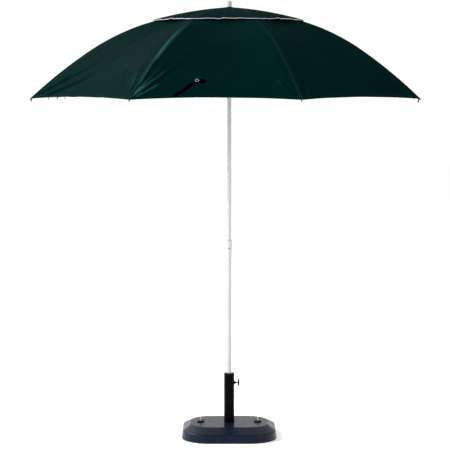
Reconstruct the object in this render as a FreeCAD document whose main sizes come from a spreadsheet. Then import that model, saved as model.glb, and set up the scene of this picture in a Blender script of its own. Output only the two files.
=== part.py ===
import FreeCAD, Part
import math
import os
import re
import Sketcher

# Patio umbrella standing in a weighted base, drawn open.
# Millimetres. Origin: centre of the base's underside. +Z up, -Y is the front, +X is the clamp screw's side.

Vector = FreeCAD.Vector
sizes = {
    # base
    "baseWide": (500, "width of the base at its foot, along X"),
    "baseDeep": (482, "depth of the base at its foot, along Y"),
    "baseCorner": (150, "corner radius at the foot, seen from above"),
    "baseDraft": (6, "inward lean of the side wall"),
    "baseHeight": (71, "underside to flat top"),
    "baseWallHeight": (44, "height of the side wall"),
    "topWide": (404, "width of the flat top"),
    "topDeep": (314, "depth of the flat top"),
    "topCorner": (108, "corner radius of the flat top"),
    "baseTopRound": (26, "rounding between the flat top and the shoulder"),
    "baseRimRound": (7, "rounding between the shoulder and the side wall"),
    "baseFootRound": (6, "rounding at the foot"),
    "shellWall": (5, "wall of the hollow shell"),
    "fillLevel": (54, "top of the water and sand inside"),
    "fillGap": (0.4, "gap between the filling and the shell"),
    "socketWall": (4, "wall of the socket that holds the tube"),
    "socketFloor": (8, "thickness under the tube"),
    # filler caps
    "capOffset": (151, "centre of a filler cap from the middle, along X"),
    "capRadius": (20, "radius of a cap's disc"),
    "capDisc": (5, "thickness of a cap's disc"),
    "capSeal": (2, "thickness of the rubber seal"),
    "capShank": (14, "radius of a cap's threaded shank"),
    "capShankDepth": (14, "length of the shank"),
    "capBarWidth": (6, "width of the finger grip"),
    "capBarLong": (34, "length of the finger grip"),
    "capBarHigh": (12, "height of the finger grip above the disc"),
    # tube and clamp
    "tubeOuter": (54, "outside diameter of the upright tube"),
    "tubeWall": (2, "wall of the tube"),
    "tubeTop": (327, "height of the tube's rim"),
    "insertTop": (331, "top of the plastic sleeve's lip"),
    "insertFoot": (30, "bottom of the plastic sleeve"),
    "insertBore": (25.6, "bore of the sleeve, for the pole"),
    "clampHeight": (280, "height of the clamp screw's axis"),
    "clampStem": (7, "diameter of the clamp screw"),
    "bossRoot": (18, "diameter of the welded nut at the tube"),
    "bossNose": (11, "diameter of the welded nut's outer end"),
    "bossEnd": (35.5, "outer end of the nut, from the pole's axis"),
    "handleMiddle": (50, "cross bar's axis, from the pole's axis"),
    "handleThick": (8.8, "diameter of the cross bar"),
    "handleLong": (33.5, "length of the cross bar"),
    "padRadius": (5, "radius of the pressure pad"),
    # poles
    "lowerOuter": (25, "outside diameter of the lower pole"),
    "upperOuter": (22, "outside diameter of the upper pole"),
    "poleWall": (1.2, "wall of both poles"),
    "lowerFoot": (8, "bottom of the lower pole"),
    "lowerTop": (975, "top of the lower pole"),
    "upperFoot": (620, "bottom of the upper pole"),
    "upperTop": (2236, "top of the upper pole"),
    "collarFoot": (953, "bottom of the height collar"),
    "collarTop": (1037, "top of the height collar"),
    "collarOuter": (31, "outside diameter of the collar"),
    "buttonHeight": (993, "height of the collar's button"),
    # canopy frame
    "ribCount": (8, "ribs, and stretchers, and canopy panels"),
    "ribTurn": (-116.5, "direction of the first rib, degrees from +X"),
    "ribThick": (4.4, "diameter of a rib"),
    "ribSink": (4.2, "rib axis below the canopy's outer face"),
    "hingeRadius": (35, "rib hinges, from the pole's axis"),
    "ventEdge": (415, "reach of the vent flap along a rib"),
    "bendRadius": (420, "where the inner bow of a rib ends"),
    "elbowRadius": (740, "where the middle bow of a rib ends"),
    "tipRadius": (1056, "canopy's reach along a rib"),
    "crownHeight": (2235, "canopy's outer face above the rib hinges"),
    "slopeHub": (2.6, "slope of the canopy at the hinges, degrees"),
    "slopeBend": (16, "slope at the end of the inner bow"),
    "slopeElbow": (33, "slope at the end of the middle bow"),
    "slopeTip": (42.5, "slope at the tips"),
    "tongueThick": (4, "thickness of the flat hinge ends and lugs"),
    "slotWidth": (5.8, "slots of the hub and runner"),
    "pinThick": (3, "diameter of the hinge pins"),
    "pinLong": (15, "length of the hinge pins"),
    "runFit": (0.06, "radial clearance of a hinge pin"),
    "lugRadius": (330, "place of the stretcher's lug on the rib"),
    "lugDrop": (22, "lug's pivot below the canopy's outer face"),
    "runnerHeight": (1840, "height of the runner's pivots"),
    "runnerPivot": (30, "runner's pivots, from the pole's axis"),
    "runnerFoot": (1797, "bottom of the runner"),
    "runnerTop": (1862, "top of the runner"),
    "runnerButton": (1814, "height of the runner's button"),
    "strutThick": (6, "diameter of a stretcher"),
    "forkGap": (6.6, "gap between a fork's plates"),
    "forkPlate": (1.6, "thickness of a fork's plate"),
    # canopy cloth
    "clothThick": (1.2, "thickness given to the cloth"),
    "seamGap": (0.6, "gap between neighbouring panels"),
    "ventHole": (300, "edge of the main canopy under the flap"),
    "hemRise": (12, "rise of the hem between two tips"),
    "flapCrown": (2251, "outer face of the flap beside the finial"),
    "flapInner": (18, "inner edge of the flap"),
    "flapSlopeTop": (4.5, "slope of the flap at its inner edge"),
    "flapSlopeEdge": (15.5, "slope of the flap at its hem"),
    # strap on the front panel
    "strapLowOut": (956, "strap's lower end: distance out along the front panel"),
    "strapLowSide": (-196, "strap's lower end: distance to the side"),
    "strapHighOut": (868, "strap's upper end: distance out"),
    "strapHighSide": (-72, "strap's upper end: distance to the side"),
    "ringPlace": (956, "ring's place down the curve"),
    "ringSide": (-93, "ring's distance to the side"),
    "strapWidth": (18, "width of the closing strap"),
    "strapThick": (1.2, "thickness of the strap"),
    "ringRadius": (8, "middle radius of the strap's ring"),
    "ringWire": (1.4, "radius of the ring's wire"),
    # top
    "crownDisc": (44, "diameter of the crown washer"),
    "finialThick": (27, "diameter of the finial"),
    "finialTop": (2285, "top of the finial"),
}

doc = FreeCAD.newDocument("PatioUmbrella")
sheet = doc.addObject("Spreadsheet::Sheet", "Sizes")
for row, (word, (amount, note)) in enumerate(sizes.items(), 1):
    sheet.set("A%d" % row, word)
    sheet.set("B%d" % row, str(amount))
    sheet.set("C%d" % row, note)
    sheet.setAlias("B%d" % row, word)
doc.recompute()


def express(text):
    return re.sub(r"[A-Za-z]\w+", lambda w: "Sizes." + w.group() if w.group() in sizes else w.group(), text)


def value(text):
    found = sheet.evalExpression(express(text))
    return float(getattr(found, "Value", found))


def bind(thing, **settings):
    for name, text in settings.items():
        thing.setExpression(name, express(text))


def spot_at(x, y, z, axis=(0, 0, 1), turn=0):
    return FreeCAD.Placement(Vector(x, y, z), FreeCAD.Rotation(Vector(*axis), turn))


def plane(body, role):
    return [f for f in body.Origin.OriginFeatures if f.Role == role][0]


def new_body(label, spot=None):
    body = doc.addObject("PartDesign::Body", label)
    body.Label = label
    if spot:
        body.Placement = spot
    return body


def new_sketch(body, role, along="0", turn=0):
    # a sketch on one of the body's own planes, moved along that plane's normal
    sketch = body.newObject("Sketcher::SketchObject", "Outline")
    sketch.AttachmentSupport = [(plane(body, role), "")]
    sketch.MapMode = "FlatFace"
    sketch.AttachmentOffset = spot_at(0, 0, value(along), turn=turn)
    if along != "0":
        sketch.setExpression("AttachmentOffset.Base.z", express(along))
    return sketch


def hold_point(sketch, place, end, x, y):
    # ties one end of a line to a spot given in words of the sheet
    for kind, text, axis in (("DistanceX", x, -2), ("DistanceY", y, -1)):
        got = value(text)
        if got == 0:
            sketch.addConstraint(Sketcher.Constraint("PointOnObject", place, end, axis))
        else:
            at = sketch.addConstraint(Sketcher.Constraint(kind, -1, 1, place, end, got))
            sketch.setExpression("Constraints[%d]" % at, express(text))


def outline(sketch, corners):
    # a closed outline of straight lines whose corners follow the sheet
    first = sketch.GeometryCount
    spots = [Vector(value(x), value(y), 0) for x, y in corners]
    count = len(spots)
    for i in range(count):
        sketch.addGeometry(Part.LineSegment(spots[i], spots[(i + 1) % count]))
    for i in range(count):
        sketch.addConstraint(Sketcher.Constraint("Coincident", first + i, 2, first + (i + 1) % count, 1))
        hold_point(sketch, first + i, 1, *corners[i])


def circle(sketch, radius, x="0", y="0"):
    at = sketch.addGeometry(Part.Circle(Vector(value(x), value(y), 0), Vector(0, 0, 1), value(radius)))
    hold_point(sketch, at, 3, x, y)
    held = sketch.addConstraint(Sketcher.Constraint("Radius", at, value(radius)))
    sketch.setExpression("Constraints[%d]" % held, express(radius))


def rounded_oblong(sketch, half_wide, half_deep, corner):
    # four sides and four quarter circles, joined tangentially
    w, d, c = value(half_wide), value(half_deep), value(corner)
    x, y = w - c, d - c
    sides = [((-x, -d), (x, -d)), ((w, -y), (w, y)), ((x, d), (-x, d)), ((-w, y), (-w, -y))]
    middles = [(x, -y), (x, y), (-x, y), (-x, -y)]
    for i, (a, b) in enumerate(sides):
        sketch.addGeometry(Part.LineSegment(Vector(*a, 0), Vector(*b, 0)))
        start = math.radians(-90 + 90 * i)
        bend = Part.Circle(Vector(*middles[i], 0), Vector(0, 0, 1), c)
        sketch.addGeometry(Part.ArcOfCircle(bend, start, start + math.pi / 2))
    for i in range(4):
        sketch.addConstraint(Sketcher.Constraint("Tangent", 2 * i, 2, 2 * i + 1, 1))
        sketch.addConstraint(Sketcher.Constraint("Tangent", 2 * i + 1, 2, (2 * i + 2) % 8, 1))
    held = sketch.addConstraint(Sketcher.Constraint("Radius", 1, c))
    sketch.setExpression("Constraints[%d]" % held, express(corner))


def turned(body, corners, turns=360, role="XZ_Plane"):
    # solid of revolution about the body's Z axis, from (radius, height) corners
    sketch = new_sketch(body, role)
    outline(sketch, corners)
    made = body.newObject("PartDesign::Revolution", "Turned")
    made.Profile = sketch
    made.ReferenceAxis = (sketch, ["V_Axis"])
    made.Angle = turns
    sketch.Visibility = False
    body.Tip = made
    return made


def raised(body, draw, length, role="XY_Plane", along="0", both=False, cut=False):
    # a pad, or a pocket with cut, of what draw puts in the sketch
    sketch = new_sketch(body, role, along)
    draw(sketch)
    made = body.newObject("PartDesign::Pocket" if cut else "PartDesign::Pad", "Cut" if cut else "Raised")
    made.Profile = sketch
    made.setExpression("Length", express(length))
    made.Length = value(length)
    if both:
        made.SideType = "Symmetric"
    body.Tip = made
    return made


def cut_checked(body, draw, length, role="XY_Plane", along="0", both=False):
    # a pocket that must take material away
    doc.recompute()
    before = body.Shape.Volume
    made = raised(body, draw, length, role, along, both, True)
    doc.recompute()
    if body.Shape.Volume > before - 1:
        made.Reversed = True
        doc.recompute()
    if body.Shape.Volume > before - 1:
        raise ValueError("a pocket of %s takes nothing away" % body.Label)
    return made


def around(body, features, count):
    # repeats features about the body's Z axis
    made = body.newObject("PartDesign::PolarPattern", "Repeated")
    made.Originals = features
    made.Axis = ([f for f in body.Origin.OriginFeatures if f.Role == "Z_Axis"][0], [""])
    made.Angle = 360
    made.setExpression("Occurrences", express(count))
    made.Occurrences = int(value(count))
    body.Tip = made
    return made


# ---- the curve of the canopy ------------------------------------------------

def bows():
    # three circular arcs joined tangentially, each as (centre radius, centre height, arc radius)
    reach = [value(w) for w in ("hingeRadius", "bendRadius", "elbowRadius", "tipRadius")]
    slope = [math.radians(value(w)) for w in ("slopeHub", "slopeBend", "slopeElbow", "slopeTip")]
    height = value("crownHeight")
    found = []
    for i in range(3):
        arc = (reach[i + 1] - reach[i]) / (math.sin(slope[i + 1]) - math.sin(slope[i]))
        found.append((reach[i] - arc * math.sin(slope[i]), height - arc * math.cos(slope[i]), arc))
        height -= arc * (math.cos(slope[i]) - math.cos(slope[i + 1]))
    return reach, found


def on_curve(radius, sink=0.0):
    # point of the canopy's outer face above a given radius, sunk square to the face, and the slope there
    reach, found = bows()
    side, up, arc = found[0 if radius <= reach[1] else 1 if radius <= reach[2] else 2]
    slope = math.asin((radius - side) / arc)
    reach = arc - sink
    return Vector(side + reach * math.sin(slope), 0, up + reach * math.cos(slope)), math.degrees(slope)


def curve_stops(start):
    # the radii that split the curve from start to the tip into arcs, with each arc's middle
    stops = [start] + [s for s in bows()[0][1:] if s > start]
    return [(a, (a + b) / 2, b) for a, b in zip(stops, stops[1:])]


def flap_point(radius, sink=0.0):
    # point of the vent flap's outer face: one arc from the finial to the flap's hem
    inner = value("flapInner")
    slopes = [math.radians(value(w)) for w in ("flapSlopeTop", "flapSlopeEdge")]
    arc = (value("ventEdge") - inner) / (math.sin(slopes[1]) - math.sin(slopes[0]))
    side = inner - arc * math.sin(slopes[0])
    slope = math.asin((radius - side) / arc)
    up = value("flapCrown") - arc * math.cos(slopes[0])
    return Vector(side + (arc - sink) * math.sin(slope), 0, up + (arc - sink) * math.cos(slope))


def flat(point):
    return Vector(point.x, point.z, 0)


def rib_frame(k):
    # the frame of rib k: its X axis points along the rib
    return spot_at(0, 0, 0, turn=value("ribTurn") + 360 / value("ribCount") * k)


# ---- stand ------------------------------------------------------------------

def base_shell():
    # foot, rim and flat top outlines joined by straight-ruled walls, the three rings of edges rounded
    outlines = [
        ("0", "baseWide / 2", "baseDeep / 2", "baseCorner"),
        (
            "baseWallHeight",
            "baseWide / 2 - baseDraft",
            "baseDeep / 2 - baseDraft",
            "baseCorner - baseDraft",
        ),
        ("baseHeight", "topWide / 2", "topDeep / 2", "topCorner"),
    ]
    rings = []
    for height, wide, deep, corner in outlines:
        sketch = doc.addObject("Sketcher::SketchObject", "Ring")
        sketch.Placement.Base.z = value(height)
        if height != "0":
            sketch.setExpression("Placement.Base.z", express(height))
        rounded_oblong(sketch, wide, deep, corner)
        rings.append(sketch)
    block = doc.addObject("Part::Loft", "Block")
    block.Sections = rings
    block.Solid = True
    block.Ruled = True
    doc.recompute()
    body = new_body("base_shell")
    body.BaseFeature = block
    doc.recompute()
    soften(body, value("baseHeight"), "baseTopRound")
    soften(body, value("baseWallHeight"), "baseRimRound")
    soften(body, 0, "baseFootRound")

    def wide(sketch):
        inset = "shellWall - baseDraft"
        rounded_oblong(
            sketch, "baseWide / 2 - " + inset, "baseDeep / 2 - " + inset, "baseCorner - " + inset
        )
        circle(sketch, "tubeOuter / 2 + socketWall")

    def narrow(sketch):
        rounded_oblong(
            sketch, "topWide / 2 - shellWall", "topDeep / 2 - shellWall", "topCorner - shellWall"
        )
        circle(sketch, "tubeOuter / 2 + socketWall")

    cut_checked(body, wide, "baseWallHeight - 2 * shellWall", along="shellWall").Reversed = True
    cut_checked(
        body, narrow, "baseHeight - baseWallHeight", along="baseWallHeight - shellWall"
    ).Reversed = True
    doc.recompute()
    cut_checked(body, lambda s: circle(s, "tubeOuter / 2"), "baseHeight - socketFloor", along="baseHeight")
    for side in ("capOffset", "-capOffset"):
        cut_checked(
            body, lambda s: circle(s, "capShank + 0.3", side), "shellWall + 2", along="baseHeight"
        )
    return body


def soften(body, height, radius):
    # rounds the ring of edges that lies at one height
    loop = [
        "Edge%d" % (i + 1)
        for i, e in enumerate(body.Shape.Edges)
        if abs(e.BoundBox.ZMin - height) < 0.01 and abs(e.BoundBox.ZMax - height) < 0.01
    ]
    under = body.Tip
    soft = body.newObject("PartDesign::Fillet", "Soft")
    soft.Base = (under, loop)
    soft.Radius = value(radius)
    bind(soft, Radius=radius)
    body.Tip = soft
    doc.recompute()


def ballast():
    body = new_body("ballast")

    def wide(sketch):
        inset = "shellWall - baseDraft - fillGap"
        rounded_oblong(
            sketch, "baseWide / 2 - " + inset, "baseDeep / 2 - " + inset, "baseCorner - " + inset
        )
        circle(sketch, "tubeOuter / 2 + socketWall + fillGap")

    def narrow(sketch):
        inset = "shellWall - fillGap"
        rounded_oblong(sketch, "topWide / 2 - " + inset, "topDeep / 2 - " + inset, "topCorner - " + inset)
        circle(sketch, "tubeOuter / 2 + socketWall + fillGap")

    raised(body, wide, "baseWallHeight - 2 * shellWall - 2 * fillGap", along="shellWall + fillGap")
    raised(
        body,
        narrow,
        "fillLevel - baseWallHeight + shellWall + fillGap",
        along="baseWallHeight - shellWall - fillGap",
    )
    return body


def base_tube():
    body = new_body("base_tube")
    turned(
        body,
        [
            ("tubeOuter / 2 - tubeWall", "socketFloor"),
            ("tubeOuter / 2", "socketFloor"),
            ("tubeOuter / 2", "tubeTop"),
            ("tubeOuter / 2 - tubeWall", "tubeTop"),
        ],
    )
    cut_checked(
        body, lambda s: circle(s, "clampStem / 2 + 0.3", "0", "clampHeight"), "tubeOuter", "YZ_Plane"
    ).Reversed = True
    return body


def tube_sleeve():
    body = new_body("tube_sleeve")
    turned(
        body,
        [
            ("insertBore / 2", "insertFoot"),
            ("tubeOuter / 2 - tubeWall", "insertFoot"),
            ("tubeOuter / 2 - tubeWall", "tubeTop"),
            ("tubeOuter / 2", "tubeTop"),
            ("tubeOuter / 2", "insertTop - 1"),
            ("tubeOuter / 2 - 1", "insertTop"),
            ("insertBore / 2 + 2", "insertTop"),
            ("insertBore / 2", "insertTop - 2"),
        ],
    )
    cut_checked(
        body, lambda s: circle(s, "padRadius + 0.3", "0", "clampHeight"), "tubeOuter", "YZ_Plane"
    ).Reversed = True
    return body


def clamp_nut():
    # welded on the tube; turned about its own Z axis, which lies along +X
    body = new_body("clamp_nut", along_x())
    turned(
        body,
        [
            ("clampStem / 2 + 0.06", "tubeOuter / 2 + 1"),
            ("clampStem / 2 + 0.06", "bossEnd"),
            ("bossNose / 2", "bossEnd"),
            ("bossRoot / 2", "tubeOuter / 2 + 1"),
        ],
    )
    doc.recompute()
    # a foot that follows the tube's curve
    raised(
        body, lambda s: ring(s, "clampStem / 2 + 0.06", "bossRoot / 2"), "4", along="tubeOuter / 2 - 2.5"
    )
    doc.recompute()

    def tube_hole(sketch):
        circle(sketch, "tubeOuter / 2")

    cut_checked(body, tube_hole, "4 * tubeOuter", "YZ_Plane", both=True)
    return body


def along_x():
    return FreeCAD.Placement(Vector(0, 0, value("clampHeight")), FreeCAD.Rotation(Vector(0, 1, 0), 90))


def ring(sketch, inner, outer):
    circle(sketch, inner)
    circle(sketch, outer)


def clamp_pad():
    body = new_body("clamp_pad", along_x())
    turned(
        body,
        [
            ("0", "lowerOuter / 2 + 0.2"),
            ("padRadius", "lowerOuter / 2 + 0.2"),
            ("padRadius", "lowerOuter / 2 + 3"),
            ("0", "lowerOuter / 2 + 3"),
        ],
    )
    return body


def clamp_screw():
    body = new_body("clamp_screw", along_x())
    turned(
        body,
        [
            ("0", "lowerOuter / 2 + 3.1"),
            ("clampStem / 2", "lowerOuter / 2 + 3.1"),
            ("clampStem / 2", "handleMiddle - handleThick / 2 + 0.6"),
            ("0", "handleMiddle - handleThick / 2 + 0.6"),
        ],
    )
    return body


def clamp_handle():
    # cross bar with a bored hub, upright
    body = new_body("clamp_handle", spot_at(value("handleMiddle"), 0, value("clampHeight")))
    turned(
        body,
        [
            ("0", "-handleLong / 2"),
            ("handleThick / 2 - 1", "-handleLong / 2"),
            ("handleThick / 2", "-handleLong / 2 + 1"),
            ("handleThick / 2", "handleLong / 2 - 1"),
            ("handleThick / 2 - 1", "handleLong / 2"),
            ("0", "handleLong / 2"),
        ],
    )
    doc.recompute()
    socket = cut_checked(
        body, lambda s: circle(s, "clampStem / 2"), "10", "YZ_Plane", "-handleThick / 2 + 0.6"
    )
    socket.Reversed = False
    return body


def cap_seal(name, side):
    body = new_body(name, spot_at(side * value("capOffset"), 0, value("baseHeight")))
    turned(
        body,
        [
            ("capShank + 0.3", "0"),
            ("capRadius - 1", "0"),
            ("capRadius - 1", "capSeal"),
            ("capShank + 0.3", "capSeal"),
        ],
    )
    return body


def filler_cap(name, side):
    body = new_body(name, spot_at(side * value("capOffset"), 0, value("baseHeight")))
    turned(
        body,
        [
            ("0", "-capShankDepth"),
            ("capShank - 1", "-capShankDepth"),
            ("capShank", "-capShankDepth + 1"),
            ("capShank", "capSeal"),
            ("capRadius", "capSeal"),
            ("capRadius", "capSeal + capDisc - 1.5"),
            ("capRadius - 1.5", "capSeal + capDisc"),
            ("0", "capSeal + capDisc"),
        ],
    )

    def grip(sketch):
        outline(
            sketch,
            [
                ("-capBarWidth / 2", "-capBarLong / 2"),
                ("capBarWidth / 2", "-capBarLong / 2"),
                ("capBarWidth / 2", "capBarLong / 2"),
                ("-capBarWidth / 2", "capBarLong / 2"),
            ],
        )

    raised(body, grip, "capBarHigh", along="capSeal + capDisc")
    return body


# ---- poles ------------------------------------------------------------------

def pole(name, outer, foot, top):
    body = new_body(name)
    turned(
        body,
        [
            (outer + " / 2 - poleWall", foot),
            (outer + " / 2", foot),
            (outer + " / 2", top),
            (outer + " / 2 - poleWall", top),
        ],
    )
    return body


def height_collar():
    body = new_body("height_collar")
    turned(
        body,
        [
            ("lowerOuter / 2", "collarFoot"),
            ("lowerOuter / 2 + 1.2", "collarFoot"),
            ("lowerOuter / 2 + 1.6", "collarFoot + 26"),
            ("collarOuter / 2", "collarFoot + 34"),
            ("collarOuter / 2", "collarTop - 3"),
            ("collarOuter / 2 - 2", "collarTop"),
            ("upperOuter / 2 + 0.3", "collarTop"),
            ("upperOuter / 2 + 0.3", "lowerTop + 0.1"),
            ("lowerOuter / 2", "lowerTop + 0.1"),
        ],
    )
    doc.recompute()

    def button_hole(sketch):
        circle(sketch, "4.3", "0", "buttonHeight")

    cut_checked(body, button_hole, "collarOuter", "XZ_Plane").Reversed = True
    return body


def collar_button():
    # press button at the front of the collar, its axis along -Y
    body = new_body(
        "collar_button",
        spot_at(0, 0, value("buttonHeight"), (1, 0, 0), 90),
    )
    turned(
        body,
        [
            ("0", "upperOuter / 2 + 2.1"),
            ("4", "upperOuter / 2 + 2.1"),
            ("4", "collarOuter / 2 + 1"),
            ("3.2", "collarOuter / 2 + 1.6"),
            ("0", "collarOuter / 2 + 1.6"),
        ],
    )
    return body


# ---- top of the pole --------------------------------------------------------

def hinge_height():
    return on_curve(value("hingeRadius"), value("ribSink"))[0]


def slots(body, inner, outer, foot, top):
    # one open slot along +X, then repeated for every rib
    def gap(sketch):
        outline(
            sketch,
            [
                (inner, "-slotWidth / 2"),
                (outer + " + 5", "-slotWidth / 2"),
                (outer + " + 5", "slotWidth / 2"),
                (inner, "slotWidth / 2"),
            ],
        )

    return cut_checked(body, gap, "%s - (%s) + 2" % (top, foot), along=top + " + 1")


def hub():
    spot = rib_frame(0)
    body = new_body("top_hub", spot)
    pivot = hinge_height()
    sheet_word("hingeHeight", round(pivot.z, 4), "height of the rib hinges")
    turned(
        body,
        [
            ("upperOuter / 2", "hingeHeight - 40"),
            ("upperOuter / 2 + 4", "hingeHeight - 40"),
            ("upperOuter / 2 + 5", "hingeHeight - 12"),
            ("hingeRadius + 7", "hingeHeight - 9"),
            ("hingeRadius + 7", "hingeHeight + 6"),
            ("upperOuter / 2 + 4", "hingeHeight + 11"),
            ("3", "hingeHeight + 11"),
            ("3", "upperTop"),
            ("upperOuter / 2", "upperTop"),
        ],
    )
    slot = slots(body, "upperOuter / 2 + 9", "hingeRadius + 7", "hingeHeight - 12", "hingeHeight + 11")
    hole = cut_checked(
        body,
        lambda s: circle(s, "pinThick / 2", "hingeRadius", "hingeHeight"),
        "pinLong",
        "XZ_Plane",
        both=True,
    )
    around(body, [slot, hole], "ribCount")
    return body


def sheet_word(word, amount, note):
    # adds one worked-out size to the sheet
    row = len(sizes) + 1
    sizes[word] = (amount, note)
    sheet.set("A%d" % row, word)
    sheet.set("B%d" % row, str(amount))
    sheet.set("C%d" % row, note)
    sheet.setAlias("B%d" % row, word)
    doc.recompute()


def pins(name, radius, height):
    # eight hinge pins, each lying square to its rib
    body = new_body(name, rib_frame(0))
    first = raised(
        body, lambda s: circle(s, "pinThick / 2", radius, height), "pinLong", "XZ_Plane", both=True
    )
    around(body, [first], "ribCount")
    return body


def crown_washer():
    body = new_body("crown_washer")
    turned(
        body,
        [
            ("3.1", "flapCrown + 0.4"),
            ("crownDisc / 2", "flapCrown + 0.05"),
            ("crownDisc / 2", "flapCrown + 1"),
            ("finialThick / 2", "flapCrown + 2.4"),
            ("3.1", "flapCrown + 2.4"),
        ],
    )
    return body


def finial():
    body = new_body("finial")
    turned(
        body,
        [
            ("0", "upperTop + 4"),
            ("3", "upperTop + 4"),
            ("3", "flapCrown + 2.5"),
            ("finialThick / 2 - 1", "flapCrown + 2.5"),
            ("finialThick / 2", "flapCrown + 4"),
            ("finialThick / 2 - 0.5", "finialTop - 3"),
            ("finialThick / 2 - 3.5", "finialTop"),
            ("0", "finialTop"),
        ],
    )
    return body


# ---- runner -----------------------------------------------------------------

def runner():
    body = new_body("runner", rib_frame(0))
    turned(
        body,
        [
            ("upperOuter / 2 + 0.4", "runnerFoot"),
            ("upperOuter / 2 + 6", "runnerFoot"),
            ("upperOuter / 2 + 7", "runnerFoot + 2"),
            ("upperOuter / 2 + 5", "runnerFoot + 10"),
            ("upperOuter / 2 + 5", "runnerHeight - 12"),
            ("runnerPivot + 7", "runnerHeight - 8"),
            ("runnerPivot + 7", "runnerHeight + 7"),
            ("upperOuter / 2 + 5", "runnerHeight + 7"),
            ("upperOuter / 2 + 4", "runnerTop"),
            ("upperOuter / 2 + 0.4", "runnerTop"),
        ],
    )
    slot = slots(body, "upperOuter / 2 + 8", "runnerPivot + 7", "runnerHeight - 12", "runnerHeight + 7")
    hole = cut_checked(
        body,
        lambda s: circle(s, "pinThick / 2", "runnerPivot", "runnerHeight"),
        "pinLong",
        "XZ_Plane",
        both=True,
    )
    around(body, [slot, hole], "ribCount")
    cut_checked(
        body, lambda s: circle(s, "4.3", "0", "runnerButton"), "40", "YZ_Plane"
    ).Reversed = True
    return body


def runner_button():
    # press button in the runner's sleeve, square to the pole, on the first rib's side
    spot = rib_frame(0).multiply(spot_at(0, 0, value("runnerButton"), (0, 1, 0), 90))
    body = new_body("runner_button", spot)
    turned(
        body,
        [
            ("0", "upperOuter / 2 + 2.2"),
            ("4", "upperOuter / 2 + 2.2"),
            ("4", "upperOuter / 2 + 7.5"),
            ("3", "upperOuter / 2 + 8.3"),
            ("0", "upperOuter / 2 + 8.3"),
        ],
    )
    return body


def stretcher(k):
    # straight rod from the runner's pivot to the rib's lug
    # its own X axis runs along the rod, from its lower pivot
    start = Vector(value("runnerPivot"), 0, value("runnerHeight"))
    end = on_curve(value("lugRadius"), value("lugDrop"))[0]
    rise = math.degrees(math.atan2(end.z - start.z, end.x - start.x))
    spot = rib_frame(k).multiply(FreeCAD.Placement(start, FreeCAD.Rotation(Vector(0, 1, 0), -rise)))
    body = new_body("stretcher_%d" % (k + 1), spot)

    def tongue(sketch):
        capsule(sketch, "0", "18", "5")

    raised(body, tongue, "tongueThick", "XZ_Plane", both=True)
    raised(body, lambda s: circle(s, "strutThick / 2"), "strutLong - 30 - 14", "YZ_Plane", "14")

    def root(sketch):
        half = "forkGap / 2 + forkPlate"
        outline(
            sketch,
            [
                ("strutLong - 33", "-" + half.replace("+", "-")),
                ("strutLong - 20", "-" + half.replace("+", "-")),
                ("strutLong - 20", half),
                ("strutLong - 33", half),
            ],
        )

    raised(body, root, "10", "XY_Plane", both=True)

    def plate(sketch):
        capsule(sketch, "strutLong - 24", "strutLong", "5")

    for side in ("forkGap / 2", "-forkGap / 2 - forkPlate"):
        raised(body, plate, "forkPlate", "XZ_Plane", along=side)
    rivets(body)
    doc.recompute()
    cut_checked(body, lambda s: circle(s, "pinThick / 2 + runFit"), "20", "XZ_Plane", both=True)
    return body


def rivets(body):
    # half a rivet on the outside of each plate: the pivot is left open between the plates
    for side in ("forkGap / 2 + forkPlate", "-forkGap / 2 - forkPlate - 1.2"):
        raised(body, lambda s: circle(s, "2.6", "strutLong"), "1.2", "XZ_Plane", along=side)


def capsule(sketch, start, end, half):
    # a bar with round ends along the sketch's X axis
    a = value(start)
    b = value(end)
    r = value(half)
    first = sketch.GeometryCount
    up = Vector(0, 0, 1)
    sketch.addGeometry(Part.LineSegment(Vector(a, -r, 0), Vector(b, -r, 0)))
    sketch.addGeometry(Part.ArcOfCircle(Part.Circle(Vector(b, 0, 0), up, r), -math.pi / 2, math.pi / 2))
    sketch.addGeometry(Part.LineSegment(Vector(b, r, 0), Vector(a, r, 0)))
    sketch.addGeometry(Part.ArcOfCircle(Part.Circle(Vector(a, 0, 0), up, r), math.pi / 2, 3 * math.pi / 2))
    for i in range(4):
        sketch.addConstraint(Sketcher.Constraint("Coincident", first + i, 2, first + (i + 1) % 4, 1))
    hold_point(sketch, first + 1, 3, end, "0")
    hold_point(sketch, first + 3, 3, start, "0")


# ---- ribs -------------------------------------------------------------------

def rib(k):
    body = new_body("rib_%d" % (k + 1), rib_frame(k))
    sink = value("ribSink")
    pivot = hinge_height()
    path = new_sketch(body, "XZ_Plane")
    first = value("hingeRadius") + 14
    for a, middle, b in curve_stops(first):
        stop = min(b, value("tipRadius") - 10)
        spots = [flat(on_curve(r, sink)[0]) for r in (a, (a + stop) / 2, stop)]
        path.addGeometry(Part.Arc(*spots))
    start = on_curve(first, sink)[0]
    profile = new_sketch(body, "YZ_Plane")
    profile.AttachmentOffset = FreeCAD.Placement(Vector(0, start.z, start.x), FreeCAD.Rotation())
    circle(profile, "ribThick / 2")
    rod = body.newObject("PartDesign::AdditivePipe", "Rod")
    rod.Profile = profile
    rod.Spine = (path, [])
    body.Tip = rod
    doc.recompute()

    def tongue(sketch):
        slope = on_curve(value("hingeRadius"))[1]
        bar(sketch, flat(pivot), -math.radians(slope + 1), 17, 2.8)

    raised(body, tongue, "tongueThick", "XZ_Plane", both=True)

    def lug(sketch):
        foot, slope = on_curve(value("lugRadius"), value("lugDrop"))
        bar(sketch, flat(foot), math.radians(90 - slope), value("lugDrop") - sink - 3, 4.5)

    raised(body, lug, "tongueThick", "XZ_Plane", both=True)
    doc.recompute()
    cut_checked(
        body,
        lambda s: circle(s, "pinThick / 2 + runFit", "hingeRadius", "hingeHeight"),
        "20",
        "XZ_Plane",
        both=True,
    )
    return body


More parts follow.
